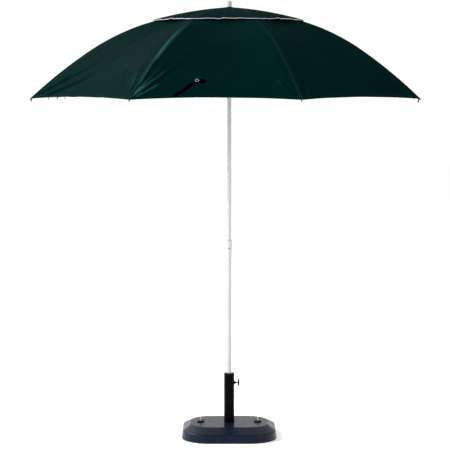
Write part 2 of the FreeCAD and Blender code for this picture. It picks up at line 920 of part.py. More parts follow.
def bar(sketch, start, turn, length, half):
    # a bar with round ends from start, in direction turn
    ahead = Vector(math.cos(turn), math.sin(turn), 0)
    side = Vector(-ahead.y, ahead.x, 0) * half
    end = start + ahead * length
    lines = [(start - side, end - side), (end + side, start + side)]
    sketch.addGeometry(Part.LineSegment(*lines[0]))
    sketch.addGeometry(Part.Arc(end - side, end + ahead * half, end + side))
    sketch.addGeometry(Part.LineSegment(*lines[1]))
    sketch.addGeometry(Part.Arc(start + side, start - ahead * half, start - side))
    for a, b in ((0, 1), (1, 2), (2, 3), (3, 0)):
        ends = (2 if a in (0, 2) else nearest(sketch, a, sketch_end(sketch, b)))
        begins = (1 if b in (0, 2) else nearest(sketch, b, sketch_end(sketch, a, 2)))
        sketch.addConstraint(Sketcher.Constraint("Coincident", a, ends, b, begins))


def sketch_end(sketch, place, end=1):
    return sketch.getPoint(place, end)


def nearest(sketch, place, spot):
    return 1 if (sketch.getPoint(place, 1) - spot).Length < (sketch.getPoint(place, 2) - spot).Length else 2


def rib_tip(k):
    # plastic tip set in the rib's end: a stem under the hem, and a small bulb just beyond it
    end, slope = on_curve(value("tipRadius") - 10, value("ribSink"))
    spot = rib_frame(k).multiply(FreeCAD.Placement(end, FreeCAD.Rotation(Vector(0, 1, 0), 90 + slope)))
    body = new_body("rib_tip_%d" % (k + 1), spot)
    turned(
        body,
        [
            ("0", "0.1"),
            ("ribThick / 2", "0.1"),
            ("ribThick / 2", "14"),
            ("ribThick / 2 + 1.5", "15"),
            ("ribThick / 2 + 1.5", "17"),
            ("ribThick / 2", "18.5"),
            ("0", "18.5"),
        ],
    )
    return body


# ---- canopy -----------------------------------------------------------------

def loose_sketch(turn):
    # a sketch standing upright: its X along the panel's middle, its Y up
    sketch = doc.addObject("Sketcher::SketchObject", "Curve")
    sketch.Placement = FreeCAD.Placement(Vector(), turn)
    return sketch


def extruded(sketch, direction, length, both=True):
    made = doc.addObject("Part::Extrusion", "Sheet")
    made.Base = sketch
    made.DirMode = "Custom"
    made.Dir = direction
    made.LengthFwd = length
    made.Solid = True
    made.Symmetric = both
    return made


def band(sketch, arcs, thick):
    # closed band between a chain of arcs and the same chain sunk by the cloth's thickness
    for a, middle, b in arcs:
        sketch.addGeometry(Part.Arc(a[0], middle[0], b[0]))
    sketch.addGeometry(Part.LineSegment(arcs[-1][2][0], arcs[-1][2][1]))
    for a, middle, b in reversed(arcs):
        sketch.addGeometry(Part.Arc(b[1], middle[1], a[1]))
    sketch.addGeometry(Part.LineSegment(arcs[0][0][1], arcs[0][0][0]))


def squeezed(point):
    # a point of the rib's curve moved to the middle of the panel, where a straight chord crosses it
    return Vector(point.x * math.cos(math.pi / value("ribCount")), point.z, 0)


def half_gore(chain, label):
    # one half of a gore: a band drawn out along the straight chords, then trimmed by a wedge
    upright = FreeCAD.Rotation(Vector(1, 0, 0), 90)
    curve = loose_sketch(upright)
    band(curve, chain, value("clothThick"))
    sheet_body = extruded(curve, Vector(0, 1, 0), value("tipRadius"))
    slice_outline = doc.addObject("Sketcher::SketchObject", "Slice")
    gap = value("seamGap") / 2
    far = value("tipRadius") * 1.2
    lean = math.tan(math.pi / value("ribCount"))
    outline_free(slice_outline, [(gap / lean, -gap), (far, -far * lean), (far, -gap)])
    wedge = extruded(slice_outline, Vector(0, 0, 1), value("finialTop"), False)
    half = doc.addObject("Part::MultiCommon", label)
    half.Shapes = [sheet_body, wedge]
    return half


def outline_free(sketch, corners):
    spots = [Vector(x, y, 0) for x, y in corners]
    for a, b in zip(spots, spots[1:] + spots[:1]):
        sketch.addGeometry(Part.LineSegment(a, b))


def both_halves(half, label):
    # turns the half so that the rib lies along X, and adds its mirror image
    half.Placement = FreeCAD.Placement(Vector(), FreeCAD.Rotation(Vector(0, 0, 1), 180 / value("ribCount")))
    other = doc.addObject("Part::Mirroring", "Other")
    other.Source = half
    other.Normal = Vector(0, 1, 0)
    whole = doc.addObject("Part::MultiFuse", label)
    whole.Shapes = [half, other]
    return whole


def cloth_pair(point_at, radius, sink):
    return squeezed(point_at(radius)), squeezed(point_at(radius, sink))


def main_cloth():
    def at(radius, sink=0.0):
        return on_curve(radius, sink)[0]

    thick = value("clothThick")
    chain = [tuple(cloth_pair(at, r, thick) for r in stops) for stops in curve_stops(value("ventHole"))]
    half = half_gore(chain, "MainHalf")
    hem = doc.addObject("Sketcher::SketchObject", "Hem")
    hem.Placement = FreeCAD.Placement(Vector(), FreeCAD.Rotation(Vector(1, 1, 1), 120))
    low = on_curve(value("tipRadius"))[0].z
    reach = value("tipRadius") * math.sin(math.pi / value("ribCount"))
    rise = value("hemRise")
    ends = [Vector(-reach, low - 2, 0), Vector(reach, low - 2, 0)]
    hem.addGeometry(Part.Arc(ends[0], Vector(0, low + rise, 0), ends[1]))
    outline_rest = [(reach, low - 2), (reach, low - 60), (-reach, low - 60), (-reach, low - 2)]
    spots = [Vector(x, y, 0) for x, y in outline_rest]
    for a, b in zip(spots, spots[1:]):
        hem.addGeometry(Part.LineSegment(a, b))
    cutter = extruded(hem, Vector(1, 0, 0), value("tipRadius") * 1.2, False)
    trimmed = doc.addObject("Part::Cut", "Trimmed")
    trimmed.Base = half
    trimmed.Tool = cutter
    return both_halves(trimmed, "MainCloth")


def flap_cloth():
    inner = value("flapInner")
    edge = value("ventEdge")
    thick = value("clothThick")
    chain = [tuple(cloth_pair(flap_point, r, thick) for r in (inner, (inner + edge) / 2, edge))]
    return both_halves(half_gore(chain, "FlapHalf"), "FlapCloth")


def canopy_panel(k):
    pair = doc.addObject("Part::Compound", "canopy_panel_%d" % (k + 1))
    pair.Label = "canopy_panel_%d" % (k + 1)
    pair.Links = [main_cloth(), flap_cloth()]
    pair.Placement = rib_frame(k)
    return pair


def closing_strap():
    # a narrow diagonal band lying on the front panel, and the ring at its upper end
    def above(radius, lift):
        return squeezed(on_curve(radius, -lift)[0])

    foot = 0.3
    top = foot + value("strapThick")
    chain = [
        tuple((above(r, top), above(r, foot)) for r in stops)
        for stops in ((value("tipRadius") * 0.8, value("tipRadius") * 0.9, value("tipRadius")),)
    ]
    curve = loose_sketch(FreeCAD.Rotation(Vector(1, 0, 0), 90))
    band(curve, chain, value("strapThick"))
    cloth = extruded(curve, Vector(0, 1, 0), value("tipRadius"))
    low = Vector(value("strapLowOut"), value("strapLowSide"), 0)
    high = Vector(value("strapHighOut"), value("strapHighSide"), 0)
    side = (high - low).normalize().cross(Vector(0, 0, 1)) * value("strapWidth") / 2
    slab = doc.addObject("Sketcher::SketchObject", "Slab")
    corners = [low - side, high - side, high + side, low + side]
    outline_free(slab, [(c.x, c.y) for c in corners])
    prism = extruded(slab, Vector(0, 0, 1), value("finialTop"), False)
    strap = doc.addObject("Part::MultiCommon", "closing_strap")
    strap.Label = "closing_strap"
    strap.Shapes = [cloth, prism]
    strap.Placement = front_gore()
    return strap


def strap_ring():
    ring_shape = doc.addObject("Part::Torus", "strap_ring")
    ring_shape.Label = "strap_ring"
    bind(ring_shape, Radius1="ringRadius", Radius2="ringWire")
    place = value("ringPlace")
    at = squeezed(on_curve(place, -(0.8 + value("strapThick") + value("ringWire")))[0])
    spot = spot_at(at.x, value("ringSide"), at.y, (0, 1, 0), on_curve(place)[1] + 2)
    ring_shape.Placement = front_gore().multiply(spot)
    return ring_shape


def front_gore():
    # the frame of the front gore, its X axis along the middle of the gore
    return rib_frame(0.5)


# ---- all --------------------------------------------------------------------

strut_start = Vector(value("runnerPivot"), 0, value("runnerHeight"))
strut_end = on_curve(value("lugRadius"), value("lugDrop"))[0]
sheet_word("strutLong", round((strut_end - strut_start).Length, 4), "stretcher between its pivots")
parts = [base_shell(), ballast(), base_tube(), tube_sleeve()]
parts += [clamp_nut(), clamp_pad(), clamp_screw(), clamp_handle()]
for word, side in (("left", -1), ("right", 1)):
    parts += [cap_seal("cap_seal_" + word, side), filler_cap("filler_cap_" + word, side)]
parts.append(pole("lower_pole", "lowerOuter", "lowerFoot", "lowerTop"))
parts.append(pole("upper_pole", "upperOuter", "upperFoot", "upperTop"))
parts += [height_collar(), collar_button(), hub(), pins("hub_pins", "hingeRadius", "hingeHeight")]
parts += [crown_washer(), finial(), runner(), runner_button()]
parts.append(pins("runner_pins", "runnerPivot", "runnerHeight"))
for k in range(int(value("ribCount"))):
    parts += [rib(k), rib_tip(k), stretcher(k), canopy_panel(k)]
parts += [closing_strap(), strap_ring()]
doc.recompute()

os.makedirs("parts", exist_ok=True)
for thing in doc.Objects:
    if "Invalid" in thing.State or "Error" in thing.State:
        raise ValueError("%s (%s) is not sound: %s" % (thing.Name, thing.Label, thing.State))
for part in parts:
    if part.Shape.isNull() or not part.Shape.isValid() or not part.Shape.Solids:
        raise ValueError("%s has no valid solid" % part.Label)
for part in parts:
    part.Shape.exportStep("parts/%s.step" % part.Label)
    print("%-18s %2d solids %10.1f mm3" % (part.Label, len(part.Shape.Solids), part.Shape.Volume))
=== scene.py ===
import math

import bpy
import numpy as np
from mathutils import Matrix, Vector


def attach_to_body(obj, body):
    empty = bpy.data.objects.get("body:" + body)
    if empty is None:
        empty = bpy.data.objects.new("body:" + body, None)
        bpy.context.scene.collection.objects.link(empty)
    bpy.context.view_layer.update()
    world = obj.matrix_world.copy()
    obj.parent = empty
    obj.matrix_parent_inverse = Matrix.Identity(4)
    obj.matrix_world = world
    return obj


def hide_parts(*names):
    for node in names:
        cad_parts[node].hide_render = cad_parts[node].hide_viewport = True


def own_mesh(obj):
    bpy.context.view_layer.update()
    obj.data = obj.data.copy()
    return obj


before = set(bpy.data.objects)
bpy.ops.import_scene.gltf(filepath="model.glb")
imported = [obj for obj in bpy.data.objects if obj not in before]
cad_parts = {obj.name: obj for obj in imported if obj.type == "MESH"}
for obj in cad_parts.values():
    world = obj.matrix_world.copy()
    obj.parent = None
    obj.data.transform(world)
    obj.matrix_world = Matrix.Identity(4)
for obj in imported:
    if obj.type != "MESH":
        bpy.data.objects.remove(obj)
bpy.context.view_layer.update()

print("frame in", len(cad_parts), "nodes")

# The curve of the canopy along a rib: three arcs that meet smoothly. reach is how far from the pole's axis
# each arc starts and ends, in metres, and slopes is the fall there, in degrees.
curve = dict(
    reach=(0.035, 0.42, 0.74, 1.056),
    slopes=(2.6, 16.0, 33.0, 42.5),
    crown=2.235,
    ribs=8,
    firstRib=-116.5,
    hole=0.300,
    hemRise=0.012,
    thick=0.0012,
)
halfAngle = math.pi / curve["ribs"]
cosHalf = math.cos(halfAngle)
sinHalf = math.sin(halfAngle)


def curveArcs():
    slopes = [math.radians(s) for s in curve["slopes"]]
    height = curve["crown"]
    found = []
    for a, b, p, q in zip(curve["reach"], curve["reach"][1:], slopes, slopes[1:]):
        arc = (b - a) / (math.sin(q) - math.sin(p))
        found.append((a - arc * math.sin(p), height - arc * math.cos(p), arc))
        height -= arc * (math.cos(p) - math.cos(q))
    return found


arcs = curveArcs()


def curveHeight(radius):
    # height of the outer face above a radius along the rib
    radius = np.asarray(radius, float)
    which = np.clip(np.searchsorted(curve["reach"][1:3], radius), 0, 2)
    side, up, arc = (np.array([a[i] for a in arcs])[which] for i in range(3))
    return up + np.sqrt(np.maximum(arc**2 - (radius - side) ** 2, 0))


tipRadius = curve["reach"][3]
tipHeight = float(curveHeight(tipRadius))
radiusTable = np.linspace(0.9, tipRadius, 200)
heightTable = curveHeight(radiusTable)


def hemRadius(w):
    # the radius where the cloth ends: a hem that rises between the tips
    offMiddle = np.abs(2 * w - 1)
    height = tipHeight + curve["hemRise"] * (1 - offMiddle**2)
    return np.interp(-height, -heightTable, radiusTable)


def goreAngle(g):
    return np.radians(curve["firstRib"] + 45.0 * (np.asarray(g) - 1) + 22.5)


# Tension folds of one gore: start and end in its plan (share of the way out, share across), then height and
# width in metres.
generator = np.random.default_rng(11)


def tensionFolds(g):
    folds = []
    for side in (0, 1):
        for i in range(5):
            reach = generator.uniform(0.10, 0.42)
            spread = generator.uniform(0.08, 0.75) * (i + 1) / 5
            height = generator.uniform(0.0012, 0.0030) * generator.choice((-1, 1))
            w0 = 0.012 + 0.01 * i
            w1 = 0.05 + 0.45 * spread
            u1 = 1 - reach
            ends = (w0, w1) if side == 0 else (1 - w0, 1 - w1)
            folds.append((0.995, ends[0], u1, ends[1], height, generator.uniform(0.007, 0.014)))
        for i in range(2):
            height = generator.uniform(0.0012, 0.0024)
            w0 = generator.uniform(0.05, 0.13)
            ends = (w0, w0 + 0.06) if side == 0 else (1 - w0, 1 - w0 - 0.06)
            folds.append((0.97, ends[0], generator.uniform(0.45, 0.62), ends[1], height, 0.016))
    if g == 1:
        folds += [
            (0.994, 0.01, 0.78, 0.235, 0.0125, 0.0095),
            (0.994, 0.03, 0.90, 0.175, 0.0105, 0.0065),
            (0.985, 0.015, 0.76, 0.135, 0.0085, 0.0075),
            (0.975, 0.012, 0.42, 0.050, 0.0075, 0.0150),
            (0.80, 0.030, 0.30, 0.080, 0.0068, 0.0170),
            (0.96, 0.06, 0.72, 0.36, -0.0070, 0.0150),
        ]
    if g == 8:
        folds += [
            (0.99, 0.03, 0.78, 0.40, -0.0105, 0.013),
            (0.99, 0.12, 0.84, 0.56, -0.0095, 0.012),
            (0.98, 0.05, 0.86, 0.30, 0.0050, 0.009),
            (0.98, 0.02, 0.62, 0.16, 0.0045, 0.014),
        ]
    if g == 2:
        folds += [(0.40, 0.10, 0.74, 0.60, 0.0048, 0.009), (0.99, 0.96, 0.80, 0.70, 0.0048, 0.010)]
    return folds


folds = {g: tensionFolds(g) for g in range(1, curve["ribs"] + 1)}


def foldHeight(g, radius, w):
    # the sum of the gore's tension folds, each a soft ridge that widens and fades along its length
    total = np.zeros(np.broadcast(radius, w).shape)
    gx = radius * cosHalf
    gy = (2 * w - 1) * radius * sinHalf
    for u0, w0, u1, w1, height, width in folds[g]:
        a = np.array([u0 * tipRadius * cosHalf, (2 * w0 - 1) * u0 * tipRadius * sinHalf])
        b = np.array([u1 * tipRadius * cosHalf, (2 * w1 - 1) * u1 * tipRadius * sinHalf])
        d = b - a
        long = math.hypot(*d)
        along = ((gx - a[0]) * d[0] + (gy - a[1]) * d[1]) / long**2
        off = ((gx - a[0]) * d[1] - (gy - a[1]) * d[0]) / long
        t = np.clip(along, 0, 1)
        fade = np.clip(t / 0.12, 0, 1) * (1 - t) ** 0.8 * np.where((along < 0) | (along > 1), 0, 1)
        total += height * fade * np.exp(-((off / (width * (0.5 + 1.1 * t))) ** 2))
    return total


# the fold heights again, kept on the cloth to paint a highlight on high folds and shade in low folds
def foldPaintedLight(g, radius, w):
    return np.stack([foldHeight(g, radius, w)] * 3, -1)


def clothPoint(g, radius, w):
    # a point of the main cloth's outer face: straight chords between the ribs, drawn slightly in, with
    # tension folds
    gx = radius * cosHalf
    gy = (2 * w - 1) * radius * sinHalf
    share = np.clip((radius - curve["hole"]) / (tipRadius - curve["hole"]), 0, 1)
    drawn = 0.010 * np.sin(math.pi * w) ** 2 * np.sin(math.pi * np.clip(share, 0, 1) ** 0.8) ** 0.7
    puffs = (
        0.0011 * np.sin(37 * radius + 5.1 * w * g + g) * np.sin(math.pi * w) ** 2 * np.sin(9 * w + 1.7 * g)
    )
    lift = -drawn + puffs + foldHeight(g, radius, w)
    fromRib = np.minimum(w, 1 - w) * 2 * radius * sinHalf
    seam = 0.0007 / (1 + np.exp((fromRib - 0.0065) / 0.0006))
    hem = 0.0006 / (1 + np.exp((hemRadius(w) - radius - 0.014) / 0.0009))
    lift = lift * np.clip(fromRib / 0.012, 0, 1) + seam + hem
    lean = math.radians(28)
    angle = goreAngle(g)
    gx = gx + lift * math.sin(lean)
    z = curveHeight(radius) + lift * math.cos(lean)
    return np.stack(
        [gx * np.cos(angle) - gy * np.sin(angle), gx * np.sin(angle) + gy * np.cos(angle), z], axis=-1
    )


flap = dict(inner=0.018, edge=0.415, crown=2.251, slopes=(4.5, 15.5), piping=0.0016)


def flapPoint(g, radius, w):
    # a point of the vent flap's outer face: one arc from the crown to its hem, which waves a little between
    # the ribs
    p, q = (math.radians(s) for s in flap["slopes"])
    arc = (flap["edge"] - flap["inner"]) / (math.sin(q) - math.sin(p))
    side = flap["inner"] - arc * math.sin(p)
    up = flap["crown"] - arc * math.cos(p)
    share = np.clip((radius - flap["inner"]) / (flap["edge"] - flap["inner"]), 0, 1)
    between = np.sin(math.pi * w) ** 2
    wave = share**3 * between * (0.0026 + 0.0016 * np.sin(6.3 * w + 2.1 * g))
    pull = (0.0016 * np.sin(23 * w + 2 * g) + 0.0011 * np.sin(47 * w + 9 * share + g)) * share**0.6 * between
    z = up + np.sqrt(arc**2 - (radius - side) ** 2) + wave + pull
    fromRib = np.minimum(w, 1 - w) * 2 * radius * sinHalf
    z = z + 0.0006 / (1 + np.exp((fromRib - 0.006) / 0.0006))
    gx = radius * cosHalf
    gy = (2 * w - 1) * radius * sinHalf
    angle = goreAngle(g)
    return np.stack(
        [gx * np.cos(angle) - gy * np.sin(angle), gx * np.sin(angle) + gy * np.cos(angle), z], axis=-1
    )


def sectorPoints(place, k, radius, across):
    # points of the rib-centred sector k: across runs from -1 to 1 between the middles of its two gores
    before = (k - 2) % curve["ribs"] + 1
    right = place(k, radius, np.clip(across / 2, 0, 1))
    left = place(before, radius, np.clip(1 + across / 2, 0, 1))
    return np.where((across >= 0)[..., None], right, left)


def sectorNormals(place, k, radius, across):
    # outward normals from small steps inside each gore, averaged on the rib
    step = 0.0004
    total = 0
    before = (k - 2) % curve["ribs"] + 1
    for g, w, held in ((k, across / 2, across >= 0), (before, 1 + across / 2, across <= 0)):
        w = np.clip(w, 0, 1)
        wStep = step / (2 * radius * sinHalf)
        dr = place(g, radius + step, w) - place(g, radius - step, w)
        dw = place(g, radius, w + wStep) - place(g, radius, w - wStep)
        n = np.cross(dr, dw)
        n /= np.linalg.norm(n, axis=-1, keepdims=True)
        total = total + n * held[..., None]
    return total / np.linalg.norm(total, axis=-1, keepdims=True)


def newPiece(name, verts, faces, uvs=None, normals=None):
    # a mesh object from arrays, smooth shaded; uvs are per vertex
    mesh = bpy.data.meshes.new(name)
    mesh.from_pydata(np.asarray(verts, float).reshape(-1, 3).tolist(), [], np.asarray(faces).tolist())
    mesh.polygons.foreach_set("use_smooth", np.ones(len(mesh.polygons), bool))
    if uvs is not None:
        layer = mesh.uv_layers.new(name="clothMap")
        loops = np.zeros(len(mesh.loops), np.int32)
        mesh.loops.foreach_get("vertex_index", loops)
        layer.data.foreach_set("uv", np.asarray(uvs, np.float32).reshape(-1, 2)[loops].ravel())
    if normals is not None:
        mesh.normals_split_custom_set_from_vertices(np.asarray(normals, float).reshape(-1, 3).tolist())
    mesh.update()
    piece = bpy.data.objects.new(name, mesh)
    bpy.context.scene.collection.objects.link(piece)
    return piece


def gridFaces(rows, columns, start=0, flip=False, closed=False):
    # quads of a grid of rows by columns of vertices; closed joins the last column to the first
    i, j = np.meshgrid(np.arange(rows - 1), np.arange(columns if closed else columns - 1), indexing="ij")
    n = (j + 1) % columns
    quads = np.stack([i * columns + j, i * columns + n, (i + 1) * columns + n, (i + 1) * columns + j], -1)
    quads = quads.reshape(-1, 4) + start
    return quads[:, ::-1] if flip else quads


def shellPiece(name, outer, normals, thick, uv):
    # a closed thin shell: the outer grid, the same grid sunk along its normals, and a rim around both
    rows, columns = outer.shape[:2]
    count = rows * columns
    inner = outer - normals * thick
    faces = [gridFaces(rows, columns, 0, True), gridFaces(rows, columns, count)]
    grid = np.arange(count).reshape(rows, columns)
    loop = np.concatenate([grid[0], grid[1:, -1], grid[-1, -2::-1], grid[-2:0:-1, 0]])
    after = np.roll(loop, -1)
    faces.append(np.stack([loop, after, after + count, loop + count], -1))
    verts = np.concatenate([outer.reshape(-1, 3), inner.reshape(-1, 3)])
    both = np.concatenate([normals.reshape(-1, 3), -normals.reshape(-1, 3)])
    return newPiece(name, verts, np.concatenate(faces), np.concatenate([uv.reshape(-1, 2)] * 2), both)


def pathFrames(path, up):
    # unit tangents, and two unit sides square to them
    tangent = np.gradient(path, axis=0)
    tangent /= np.linalg.norm(tangent, axis=1, keepdims=True)
    side = np.cross(tangent, np.broadcast_to(up, path.shape))
    side /= np.linalg.norm(side, axis=1, keepdims=True)
    return tangent, side, np.cross(side, tangent)


def tubePiece(name, path, radius, sides=10, up=(0, 0, 1), closed=False):
    # a round tube along a path, capped with a point at each end unless it is closed
    path = np.asarray(path, float)
    if closed:
        wide = np.concatenate([path[-2:], path, path[:2]])
        _, side, rise = (x[2:-2] for x in pathFrames(wide, up))
    else:
        _, side, rise = pathFrames(path, up)
    turn = np.linspace(0, 2 * math.pi, sides, endpoint=False)
    radius = np.broadcast_to(radius, len(path))[:, None, None]
    rings = path[:, None] + radius * (
        np.cos(turn)[None, :, None] * side[:, None] + np.sin(turn)[None, :, None] * rise[:, None]
    )
    rows = len(path)
    if closed:
        rings = np.concatenate([rings, rings[:1]])
        faces = gridFaces(rows + 1, sides, 0, True, True) % (rows * sides)
        verts = rings[:rows].reshape(-1, 3)
        return newPiece(name, verts, faces)
    faces = gridFaces(rows, sides, 0, True, True).tolist()
    verts = np.concatenate([rings.reshape(-1, 3), path[[0, -1]]])
    last = rows * sides
    for i in range(sides):
        j = (i + 1) % sides
        faces.append([last, j, i])
        faces.append([last + 1, last - sides + i, last - sides + j])
    mesh = newPiece(name, verts, [f for f in faces if len(f) == 4])
    return triPiece(mesh, verts, faces)


def triPiece(piece, verts, faces):
    mesh = bpy.data.meshes.new(piece.name)
    mesh.from_pydata(verts.tolist(), [], faces)
    mesh.polygons.foreach_set("use_smooth", np.ones(len(mesh.polygons), bool))
    piece.data = mesh
    return piece


def newMaterial(name):
    material = bpy.data.materials.new(name)
    material.use_nodes = True
    tree = material.node_tree
    return material, tree, tree.nodes["Principled BSDF"]


def addNode(tree, kind, inputs=(), **settings):
    made = tree.nodes.new(kind)
    for key, setting in settings.items():
        setattr(made, key, setting)
    for key, setting in dict(inputs).items():
        if isinstance(setting, bpy.types.NodeSocket):
            tree.links.new(setting, made.inputs[key])
        else:
            made.inputs[key].default_value = setting
    return made


def mathNode(tree, operation, a, b=0.0, clamp=False):
    return addNode(tree, "ShaderNodeMath", {0: a, 1: b}, operation=operation, use_clamp=clamp).outputs[0]


def rampNode(tree, source, low, high, colourLow, colourHigh):
    # a colour that runs from colourLow to colourHigh while source runs from low to high
    made = addNode(tree, "ShaderNodeValToRGB", {"Fac": source})
    made.color_ramp.elements[0].position = low
    made.color_ramp.elements[1].position = high
    made.color_ramp.elements[0].color = (*colourLow, 1)
    made.color_ramp.elements[1].color = (*colourHigh, 1)
    return made.outputs["Color"]


def noiseNode(tree, place, scale, detail=4.0, roughness=0.55):
    return addNode(
        tree, "ShaderNodeTexNoise", {
            "Vector": place, "Scale": scale, "Detail": detail, "Roughness": roughness,
        }
    ).outputs["Fac"]


def bumpNode(tree, height, distance, strength=1.0, before=None):
    made = addNode(tree, "ShaderNodeBump", {"Height": height, "Distance": distance, "Strength": strength})
    if before is not None:
        tree.links.new(before, made.inputs["Normal"])
    return made.outputs["Normal"]


# the last three colours: the thread colour (also painted as a highlight band along the rib seams), the
# painted highlight on high folds, and the painted shade in low folds
clothLook = dict(
    dark=(0.0001, 0.0120, 0.0102), light=(0.0003, 0.0200, 0.0178), thread=0.0011, stitch=0.0032,
    threadAndSeamHighlight=(0.020, 0.085, 0.078, 1), paintedFoldHighlight=(0.024, 0.115, 0.108, 1), deep=(0.0001, 0.005, 0.0045, 1),
)


def stitchRows(tree, across, along, middle, half):
    # two rows of dashes at middle - half and middle + half
    off = mathNode(tree, "ABSOLUTE", mathNode(tree, "SUBTRACT", across, middle))
    row = mathNode(tree, "ABSOLUTE", mathNode(tree, "SUBTRACT", off, half))
    line = mathNode(tree, "LESS_THAN", row, 0.00045)
    wave = mathNode(tree, "SINE", mathNode(tree, "MULTIPLY", along, 2 * math.pi / clothLook["stitch"]))
    return mathNode(tree, "MULTIPLY", line, mathNode(tree, "GREATER_THAN", wave, -0.35))


def clothMaterial(name, dark, light):
    # plain weave: two crossed waves of threads; stitched seams beside the ribs and along the hem, with a
    # painted highlight band along the rib seams; soft fading; a painted highlight on high folds and painted
    # shade in low folds
    material, tree, shader = newMaterial(name)
    uv = addNode(tree, "ShaderNodeUVMap", uv_map="clothMap").outputs["UV"]
    split = addNode(tree, "ShaderNodeSeparateXYZ", {"Vector": uv})
    u, v = split.outputs["X"], split.outputs["Y"]
    turns = 2 * math.pi / clothLook["thread"]
    warp = mathNode(tree, "SINE", mathNode(tree, "MULTIPLY", u, turns))
    weft = mathNode(tree, "SINE", mathNode(tree, "MULTIPLY", v, turns))
    weave = mathNode(tree, "MULTIPLY", warp, weft)
    place = addNode(tree, "ShaderNodeTexCoord").outputs["Object"]
    broad = noiseNode(tree, place, 3.2, 5.0)
    fine = noiseNode(tree, place, 260.0, 3.0)
    fade = mathNode(
        tree, "ADD", mathNode(tree, "MULTIPLY", broad, 0.75), mathNode(tree, "MULTIPLY", fine, 0.25),
    )
    base = rampNode(tree, fade, 0.30, 0.72, dark, light)
    fromRib = mathNode(tree, "ABSOLUTE", u)
    along = stitchRows(tree, fromRib, v, 0.0036, 0.0016)
    hem = stitchRows(tree, v, u, 0.0080, 0.0045)
    stitch = mathNode(tree, "MAXIMUM", along, hem)
    # a narrow band along each rib seam is painted toward the thread colour: a painted highlight standing in
    # for light on the raised seam
    seam = mathNode(tree, "MULTIPLY", mathNode(tree, "LESS_THAN", fromRib, 0.0026), 0.16)
    factor = mathNode(tree, "MAXIMUM", mathNode(tree, "MULTIPLY", stitch, 0.75), seam)
    thread = addNode(
        tree, "ShaderNodeMix", {"Factor": factor, 6: base, 7: clothLook["threadAndSeamHighlight"]}, data_type="RGBA",
    )
    # painted light on the folds: on top of their real relief, the cloth is painted lighter where a fold
    # stands high (painted highlight) and darker where it sinks (painted shade)
    ridge = addNode(tree, "ShaderNodeAttribute", attribute_name="foldLightShade").outputs["Fac"]
    broken = mathNode(
        tree, "MULTIPLY", ridge, mathNode(tree, "ADD", 0.55, mathNode(tree, "MULTIPLY", fine, 0.9)),
    )
    raised = addNode(
        tree, "ShaderNodeMapRange", {"Value": broken, "From Min": 0.0030, "From Max": 0.0098},
    ).outputs[0]
    sunk = addNode(
        tree, "ShaderNodeMapRange", {"Value": broken, "From Min": -0.0020, "From Max": -0.0080},
    ).outputs[0]
    paintedFoldHighlight = addNode(
        tree, "ShaderNodeMix", {"Factor": raised, 6: thread.outputs[2], 7: clothLook["paintedFoldHighlight"]},
        data_type="RGBA",
    )
    deep = addNode(
        tree, "ShaderNodeMix", {"Factor": sunk, 6: paintedFoldHighlight.outputs[2], 7: clothLook["deep"]},
        data_type="RGBA",
    )
    tree.links.new(deep.outputs[2], shader.inputs["Base Color"])
    pucker = mathNode(
        tree,
        "MULTIPLY",
        mathNode(tree, "SINE", mathNode(tree, "MULTIPLY", v, 2 * math.pi / 0.017)),
        mathNode(tree, "LESS_THAN", fromRib, 0.02),
    )
    crumple = noiseNode(tree, place, 9.0, 6.0, 0.6)
    first = bumpNode(tree, crumple, 0.006, 0.35)
    second = bumpNode(tree, pucker, 0.0004, 0.5, first)
    third = bumpNode(tree, weave, 0.00012, 0.35, second)
    fourth = bumpNode(tree, stitch, 0.0004, 0.8, third)
    tree.links.new(fourth, shader.inputs["Normal"])
    rough = addNode(
        tree, "ShaderNodeMapRange", {"Value": fade, "To Min": 0.50, "To Max": 0.64},
    ).outputs["Result"]
    tree.links.new(rough, shader.inputs["Roughness"])
    shader.inputs["Specular IOR Level"].default_value = 0.003
    shader.inputs["Sheen Weight"].default_value = 0.0015
    shader.inputs["Sheen Roughness"].default_value = 0.35
    shader.inputs["Sheen Tint"].default_value = (0.45, 0.85, 0.80, 1)
    return material


def hardMaterial(
    name,
    dark,
    light,
    rough=(0.3, 0.45),
    scale=6.0,
    grain=900.0,
    grainDeep=0.00004,
    metal=0.0,
    coat=0.0,
    wear=None,
    shine=0.5,
):
    # a hard surface: broad tone variation, fine grain, and smudges in the roughness; wear lightens
    # scattered spots
    material, tree, shader = newMaterial(name)
    place = addNode(tree, "ShaderNodeTexCoord").outputs["Object"]
    broad = noiseNode(tree, place, scale, 5.0)
    fine = noiseNode(tree, place, grain, 2.0)
    tone = rampNode(tree, broad, 0.30, 0.70, dark, light)
    if wear:
        spots = noiseNode(tree, place, 45.0, 8.0, 0.7)
        share = addNode(
            tree, "ShaderNodeMapRange", {"Value": spots, "From Min": 0.60, "From Max": 0.72},
        ).outputs["Result"]
        mixed = addNode(
            tree, "ShaderNodeMix",
            {"Factor": mathNode(tree, "MULTIPLY", share, 0.6), 6: tone, 7: (*wear, 1)}, data_type="RGBA",
        )
        tone = mixed.outputs[2]
    tree.links.new(tone, shader.inputs["Base Color"])
    smudge = noiseNode(tree, place, 24.0, 6.0, 0.65)
    low, high = rough
    tree.links.new(
        addNode(
            tree, "ShaderNodeMapRange",
            {"Value": smudge, "From Min": 0.25, "From Max": 0.75, "To Min": low, "To Max": high},
        ).outputs["Result"],
        shader.inputs["Roughness"],
    )
    tree.links.new(bumpNode(tree, fine, grainDeep, 0.6), shader.inputs["Normal"])
    shader.inputs["Specular IOR Level"].default_value = shine
    shader.inputs["Metallic"].default_value = metal
    shader.inputs["Coat Weight"].default_value = coat
    shader.inputs["Coat Roughness"].default_value = 0.12
    return material


